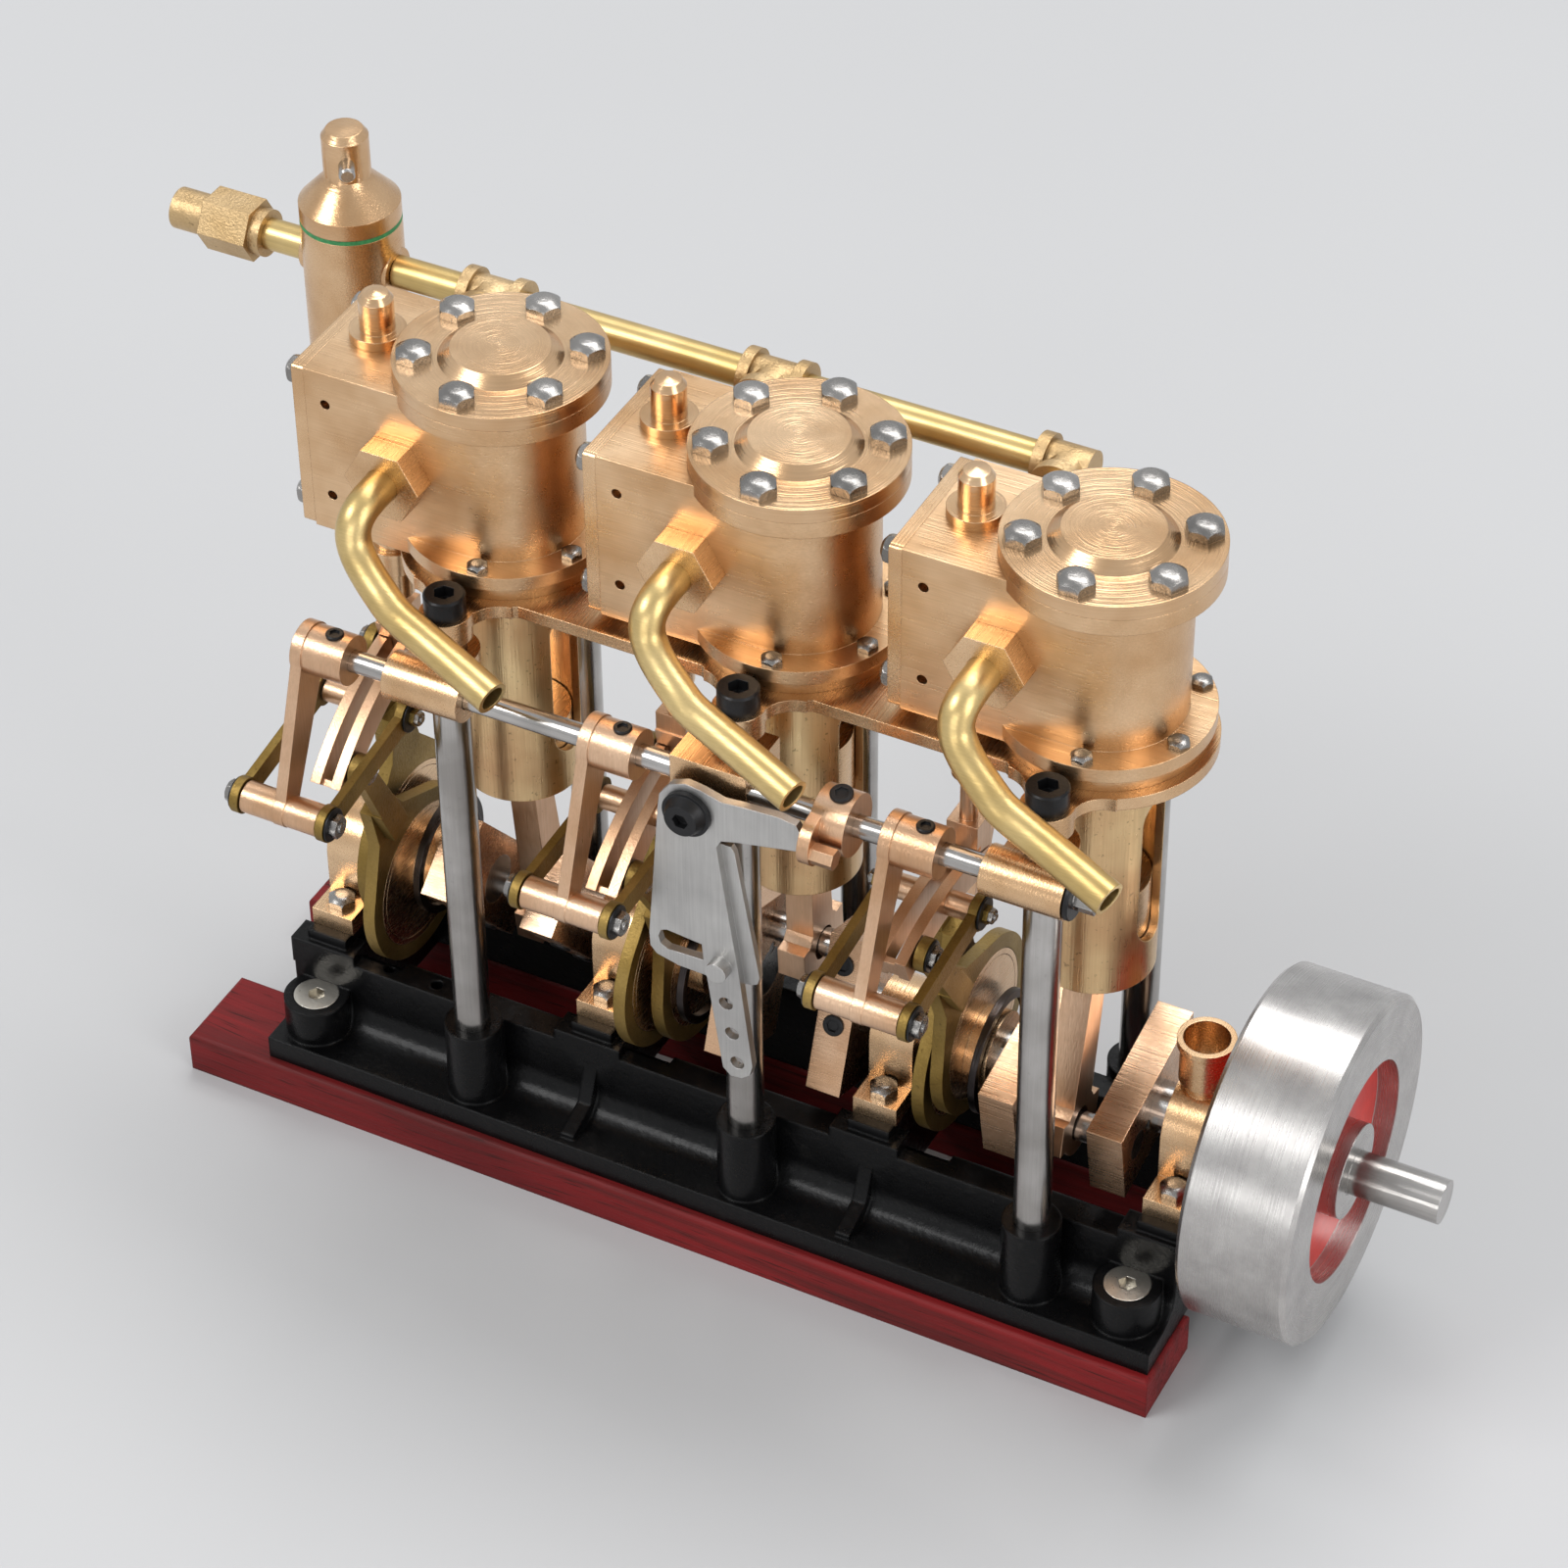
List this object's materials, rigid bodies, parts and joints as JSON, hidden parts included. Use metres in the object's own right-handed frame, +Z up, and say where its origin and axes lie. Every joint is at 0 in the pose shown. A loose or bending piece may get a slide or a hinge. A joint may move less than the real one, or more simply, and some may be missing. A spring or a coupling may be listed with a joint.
{
  "type": "model steam engine",
  "caption": "Vertical marine steam engine model: cylinders on columns over a cranked shaft with flywheel, link reversing gear, lubricator and wooden base rails.",
  "frame": {"origin": "middle of the footprint, on the surface the wooden rails stand on", "axes": "+X along the crankshaft towards the flywheel, -Y towards the reversing lever and exhaust pipes, +Z up"},
  "size_m": [0.2018, 0.0686, 0.1282],
  "materials": {
    "wooden_rails": "red stained hardwood, satin",
    "base_casting": "satin black enamel",
    "base_screws": "nickel plated",
    "columns": "ground steel",
    "socket_screws": "black oxide",
    "entablature_plate": "machined brass, brushed",
    "cylinder_blocks": "machined brass, brushed",
    "cylinder_heads": "machined brass, brushed",
    "hex_bolts": "ground steel",
    "chest_covers": "machined brass, brushed",
    "valve_caps": "machined brass, brushed",
    "exhaust_unions": "machined brass, brushed",
    "exhaust_pipes": "brushed brass",
    "trunk_guides": "machined brass, brushed",
    "gland_nuts": "machined brass, brushed",
    "bearing_blocks": "machined brass, brushed",
    "steam_manifold": "machined brass, brushed",
    "manifold_fittings": "machined brass, brushed",
    "lubricator_pot": "machined brass, brushed",
    "shaft_brackets": "machined brass, brushed",
    "crankshaft": "ground steel",
    "crank_webs": "bronze, machined",
    "eccentric_sheaves": "machined brass, brushed",
    "flywheel": "ground steel",
    "crank_key_1": "bronze, machined",
    "crosshead_1": "machined brass, brushed",
    "piston_1": "ground steel",
    "small_end_screw_1": "bronze, machined",
    "connecting_rod_1": "machined brass, brushed",
    "sheave_retainer_1": "black oxide",
    "valve_rod_1": "ground steel",
    "expansion_link_1": "brushed brass",
    "crank_key_2": "bronze, machined",
    "crosshead_2": "machined brass, brushed",
    "piston_2": "ground steel",
    "small_end_screw_2": "bronze, machined",
    "connecting_rod_2": "machined brass, brushed",
    "sheave_retainer_2": "black oxide",
    "valve_rod_2": "ground steel",
    "expansion_link_2": "brushed brass",
    "crank_key_3": "bronze, machined",
    "crosshead_3": "machined brass, brushed",
    "piston_3": "ground steel",
    "small_end_screw_3": "bronze, machined",
    "connecting_rod_3": "machined brass, brushed",
    "sheave_retainer_3": "black oxide",
    "valve_rod_3": "ground steel",
    "expansion_link_3": "brushed brass",
    "strap_liners_a": "machined brass, brushed",
    "eccentric_straps_a": "brushed brass",
    "strap_liners_b": "machined brass, brushed",
    "eccentric_straps_b": "brushed brass",
    "strap_liners_c": "machined brass, brushed",
    "eccentric_straps_c": "brushed brass",
    "weighshaft": "ground steel",
    "reversing_arms": "bronze, machined",
    "drag_links": "brushed brass",
    "reversing_lever": "ground steel",
    "lubricator_seal": "green fibre",
    "lubricator_cap": "machined brass, brushed"
  },
  "bodies": {
    "frame": {"wooden_rails": "wooden_rails", "base_casting": "base_casting", "base_screws": "base_screws", "columns": "columns", "socket_screws": "socket_screws", "entablature_plate": "entablature_plate", "cylinder_blocks": "cylinder_blocks", "cylinder_heads": "cylinder_heads", "hex_bolts": "hex_bolts", "chest_covers": "chest_covers", "valve_caps": "valve_caps", "exhaust_unions": "exhaust_unions", "exhaust_pipes": "exhaust_pipes", "trunk_guides": "trunk_guides", "gland_nuts": "gland_nuts", "bearing_blocks": "bearing_blocks", "steam_manifold": "steam_manifold", "manifold_fittings": "manifold_fittings", "lubricator_pot": "lubricator_pot", "shaft_brackets": "shaft_brackets"},
    "crankshaft": {"crankshaft": "crankshaft", "crank_webs": "crank_webs", "eccentric_sheaves": "eccentric_sheaves", "flywheel": "flywheel"},
    "key_1": {"crank_key_1": "crank_key_1"},
    "crosshead_1": {"crosshead_1": "crosshead_1"},
    "piston_1": {"piston_1": "piston_1"},
    "small_end_screw_1": {"small_end_screw_1": "small_end_screw_1"},
    "connecting_rod_1": {"connecting_rod_1": "connecting_rod_1"},
    "retainer_1": {"sheave_retainer_1": "sheave_retainer_1"},
    "valve_rod_1": {"valve_rod_1": "valve_rod_1"},
    "link_1": {"expansion_link_1": "expansion_link_1"},
    "key_2": {"crank_key_2": "crank_key_2"},
    "crosshead_2": {"crosshead_2": "crosshead_2"},
    "piston_2": {"piston_2": "piston_2"},
    "small_end_screw_2": {"small_end_screw_2": "small_end_screw_2"},
    "connecting_rod_2": {"connecting_rod_2": "connecting_rod_2"},
    "retainer_2": {"sheave_retainer_2": "sheave_retainer_2"},
    "valve_rod_2": {"valve_rod_2": "valve_rod_2"},
    "link_2": {"expansion_link_2": "expansion_link_2"},
    "key_3": {"crank_key_3": "crank_key_3"},
    "crosshead_3": {"crosshead_3": "crosshead_3"},
    "piston_3": {"piston_3": "piston_3"},
    "small_end_screw_3": {"small_end_screw_3": "small_end_screw_3"},
    "connecting_rod_3": {"connecting_rod_3": "connecting_rod_3"},
    "retainer_3": {"sheave_retainer_3": "sheave_retainer_3"},
    "valve_rod_3": {"valve_rod_3": "valve_rod_3"},
    "link_3": {"expansion_link_3": "expansion_link_3"},
    "liners_a": {"strap_liners_a": "strap_liners_a"},
    "straps_a": {"eccentric_straps_a": "eccentric_straps_a"},
    "liners_b": {"strap_liners_b": "strap_liners_b"},
    "straps_b": {"eccentric_straps_b": "eccentric_straps_b"},
    "liners_c": {"strap_liners_c": "strap_liners_c"},
    "straps_c": {"eccentric_straps_c": "eccentric_straps_c"},
    "weighshaft": {"weighshaft": "weighshaft", "reversing_arms": "reversing_arms"},
    "drag_links": {"drag_links": "drag_links"},
    "lever": {"reversing_lever": "reversing_lever"},
    "lubricator_seal": {"lubricator_seal": "lubricator_seal"},
    "lubricator_cap": {"lubricator_cap": "lubricator_cap"}
  },
  "joints": [
    {"name": "crank_spin", "type": "hinge", "parent": "frame", "child": "crankshaft", "pos_m": [0.00895, -0.0016, 0.0328], "axis": [1, 0, 0], "continuous": true},
    {"name": "crank_key_1_turn", "type": "hinge", "parent": "crankshaft", "child": "key_1", "pos_m": [-0.03305, 0.00067, 0.03013], "axis": [1, 0, 0], "continuous": true},
    {"name": "crosshead_1_guide", "type": "hinge", "parent": "key_1", "child": "crosshead_1", "pos_m": [-0.03305, -0.0016, 0.02747], "axis": [1, 0, 0], "continuous": true},
    {"name": "piston_1_turn", "type": "hinge", "parent": "crosshead_1", "child": "piston_1", "pos_m": [-0.03305, -0.0016, 0.06111], "axis": [0, 0, 1], "continuous": true},
    {"name": "small_end_1_screw", "type": "hinge", "parent": "piston_1", "child": "small_end_screw_1", "pos_m": [-0.03305, -0.0016, 0.06111], "axis": [-0.0788, -0.0671, 0.9946], "continuous": true},
    {"name": "connecting_rod_1_swing", "type": "hinge", "parent": "small_end_screw_1", "child": "connecting_rod_1", "pos_m": [-0.03305, -0.0016, 0.06111], "axis": [0.0004, -0.1339, 0.991], "continuous": true},
    {"name": "retainer_1_turn", "type": "hinge", "parent": "crankshaft", "child": "retainer_1", "pos_m": [-0.03305, -0.0011, 0.03421], "axis": [1, 0, 0], "continuous": true},
    {"name": "valve_rod_1_guide", "type": "hinge", "parent": "retainer_1", "child": "valve_rod_1", "pos_m": [-0.03305, -0.0016, 0.03563], "axis": [1, 0, 0], "continuous": true},
    {"name": "link_1_shift", "type": "hinge", "parent": "valve_rod_1", "child": "link_1", "pos_m": [-0.03305, 0.00485, 0.03642], "axis": [1, 0, 0], "range_deg": [-34.4, 0]},
    {"name": "crank_key_2_turn", "type": "hinge", "parent": "crankshaft", "child": "key_2", "pos_m": [0.00895, -0.00043, 0.0361], "axis": [1, 0, 0], "continuous": true},
    {"name": "crosshead_2_guide", "type": "hinge", "parent": "key_2", "child": "crosshead_2", "pos_m": [0.00895, -0.0016, 0.03939], "axis": [1, 0, 0], "continuous": true},
    {"name": "piston_2_turn", "type": "hinge", "parent": "crosshead_2", "child": "piston_2", "pos_m": [0.00895, -0.0016, 0.07303], "axis": [0, 0, 1], "continuous": true},
    {"name": "small_end_2_screw", "type": "hinge", "parent": "piston_2", "child": "small_end_screw_2", "pos_m": [0.00895, -0.0016, 0.07303], "axis": [0.0975, -0.0347, 0.9946], "continuous": true},
    {"name": "connecting_rod_2_swing", "type": "hinge", "parent": "small_end_screw_2", "child": "connecting_rod_2", "pos_m": [0.00895, -0.0016, 0.07303], "axis": [-0.0001, -0.0694, 0.9976], "continuous": true},
    {"name": "retainer_2_turn", "type": "hinge", "parent": "crankshaft", "child": "retainer_2", "pos_m": [0.00895, -0.00308, 0.03253], "axis": [1, 0, 0], "continuous": true},
    {"name": "valve_rod_2_guide", "type": "hinge", "parent": "retainer_2", "child": "valve_rod_2", "pos_m": [0.00895, -0.0016, 0.03226], "axis": [1, 0, 0], "continuous": true},
    {"name": "link_2_shift", "type": "hinge", "parent": "valve_rod_2", "child": "link_2", "pos_m": [0.00895, 0.00174, 0.03252], "axis": [1, 0, 0], "range_deg": [-34.4, 0]},
    {"name": "crank_key_3_turn", "type": "hinge", "parent": "crankshaft", "child": "key_3", "pos_m": [0.05095, -0.00504, 0.03217], "axis": [1, 0, 0], "continuous": true},
    {"name": "crosshead_3_guide", "type": "hinge", "parent": "key_3", "child": "crosshead_3", "pos_m": [0.05095, -0.0016, 0.03154], "axis": [1, 0, 0], "continuous": true},
    {"name": "piston_3_turn", "type": "hinge", "parent": "crosshead_3", "child": "piston_3", "pos_m": [0.05095, -0.0016, 0.06517], "axis": [0, 0, 1], "continuous": true},
    {"name": "small_end_3_screw", "type": "hinge", "parent": "piston_3", "child": "small_end_screw_3", "pos_m": [0.05095, -0.0016, 0.06517], "axis": [-0.0187, 0.1018, 0.9946], "continuous": true},
    {"name": "connecting_rod_3_swing", "type": "hinge", "parent": "small_end_screw_3", "child": "connecting_rod_3", "pos_m": [0.05095, -0.0016, 0.06517], "axis": [0.0002, 0.2025, 0.9793], "continuous": true},
    {"name": "retainer_3_turn", "type": "hinge", "parent": "crankshaft", "child": "retainer_3", "pos_m": [0.05095, -0.00063, 0.03166], "axis": [1, 0, 0], "continuous": true},
    {"name": "valve_rod_3_guide", "type": "hinge", "parent": "retainer_3", "child": "valve_rod_3", "pos_m": [0.05095, -0.0016, 0.03052], "axis": [1, 0, 0], "continuous": true},
    {"name": "link_3_shift", "type": "hinge", "parent": "valve_rod_3", "child": "link_3", "pos_m": [0.05095, -0.0114, 0.03146], "axis": [1, 0, 0], "range_deg": [-34.4, 0]},
    {"name": "liners_a_turn", "type": "hinge", "parent": "crankshaft", "child": "liners_a", "pos_m": [0.00895, -0.00059, 0.03563], "axis": [1, 0, 0], "continuous": true},
    {"name": "straps_a_swing", "type": "hinge", "parent": "liners_a", "child": "straps_a", "pos_m": [0.00895, -0.00059, 0.03563], "axis": [1, 0, 0], "range_deg": [-34.4, 0]},
    {"name": "liners_b_turn", "type": "hinge", "parent": "crankshaft", "child": "liners_b", "pos_m": [0.00895, -0.00455, 0.03226], "axis": [1, 0, 0], "continuous": true},
    {"name": "straps_b_swing", "type": "hinge", "parent": "liners_b", "child": "straps_b", "pos_m": [0.00895, -0.00455, 0.03226], "axis": [1, 0, 0], "range_deg": [-34.4, 0]},
    {"name": "liners_c_turn", "type": "hinge", "parent": "crankshaft", "child": "liners_c", "pos_m": [0.00895, 0.00034, 0.03052], "axis": [1, 0, 0], "continuous": true},
    {"name": "straps_c_swing", "type": "hinge", "parent": "liners_c", "child": "straps_c", "pos_m": [0.00895, 0.00034, 0.03052], "axis": [1, 0, 0], "range_deg": [-34.4, 0]},
    {"name": "weighshaft_turn", "type": "hinge", "parent": "frame", "child": "weighshaft", "pos_m": [0.00895, -0.0231, 0.0845], "axis": [1, 0, 0], "range_deg": [0, 56]},
    {"name": "drag_links_swing", "type": "hinge", "parent": "weighshaft", "child": "drag_links", "pos_m": [0.00895, -0.0318, 0.0636], "axis": [1, 0, 0], "range_deg": [-56, 0]},
    {"name": "lever_pivot", "type": "hinge", "parent": "frame", "child": "lever", "pos_m": [0.00625, -0.0273, 0.0817], "axis": [0, 1, 0], "range_deg": [0, 14]},
    {"name": "cap_rise", "type": "slide", "parent": "frame", "child": "lubricator_seal", "axis": [0, 0, 1], "range_m": [0, 0.0049]},
    {"name": "cap_turn", "type": "hinge", "parent": "lubricator_seal", "child": "lubricator_cap", "pos_m": [-0.07315, 0.0274, 0.114], "axis": [0, 0, 1], "range_deg": [0, 2520]}
  ],
  "couplings": [
    {"joint": "crank_key_1_turn", "follows": "crank_spin", "ratio": -2},
    {"joint": "crosshead_1_guide", "follows": "crank_spin", "ratio": 1},
    {"joint": "piston_1_turn", "follows": "crank_spin", "ratio": 1},
    {"joint": "small_end_1_screw", "follows": "crank_spin", "ratio": -2},
    {"joint": "connecting_rod_1_swing", "follows": "crank_spin", "ratio": 1},
    {"joint": "retainer_1_turn", "follows": "crank_spin", "ratio": -2},
    {"joint": "valve_rod_1_guide", "follows": "crank_spin", "ratio": 1},
    {"joint": "link_1_shift", "follows": "weighshaft_turn", "ratio": -0.61429},
    {"joint": "crank_key_2_turn", "follows": "crank_spin", "ratio": -2},
    {"joint": "crosshead_2_guide", "follows": "crank_spin", "ratio": 1},
    {"joint": "piston_2_turn", "follows": "crank_spin", "ratio": 1},
    {"joint": "small_end_2_screw", "follows": "crank_spin", "ratio": -2},
    {"joint": "connecting_rod_2_swing", "follows": "crank_spin", "ratio": 1},
    {"joint": "retainer_2_turn", "follows": "crank_spin", "ratio": -2},
    {"joint": "valve_rod_2_guide", "follows": "crank_spin", "ratio": 1},
    {"joint": "link_2_shift", "follows": "weighshaft_turn", "ratio": -0.61429},
    {"joint": "crank_key_3_turn", "follows": "crank_spin", "ratio": -2},
    {"joint": "crosshead_3_guide", "follows": "crank_spin", "ratio": 1},
    {"joint": "piston_3_turn", "follows": "crank_spin", "ratio": 1},
    {"joint": "small_end_3_screw", "follows": "crank_spin", "ratio": -2},
    {"joint": "connecting_rod_3_swing", "follows": "crank_spin", "ratio": 1},
    {"joint": "retainer_3_turn", "follows": "crank_spin", "ratio": -2},
    {"joint": "valve_rod_3_guide", "follows": "crank_spin", "ratio": 1},
    {"joint": "link_3_shift", "follows": "weighshaft_turn", "ratio": -0.61429},
    {"joint": "liners_a_turn", "follows": "crank_spin", "ratio": -1},
    {"joint": "straps_a_swing", "follows": "weighshaft_turn", "ratio": -0.61429},
    {"joint": "liners_b_turn", "follows": "crank_spin", "ratio": -1},
    {"joint": "straps_b_swing", "follows": "weighshaft_turn", "ratio": -0.61429},
    {"joint": "liners_c_turn", "follows": "crank_spin", "ratio": -1},
    {"joint": "straps_c_swing", "follows": "weighshaft_turn", "ratio": -0.61429},
    {"joint": "drag_links_swing", "follows": "weighshaft_turn", "ratio": -1},
    {"joint": "lever_pivot", "follows": "weighshaft_turn", "ratio": 0.25},
    {"joint": "cap_turn", "follows": "cap_rise", "rad_per_m": 8976}
  ]
}
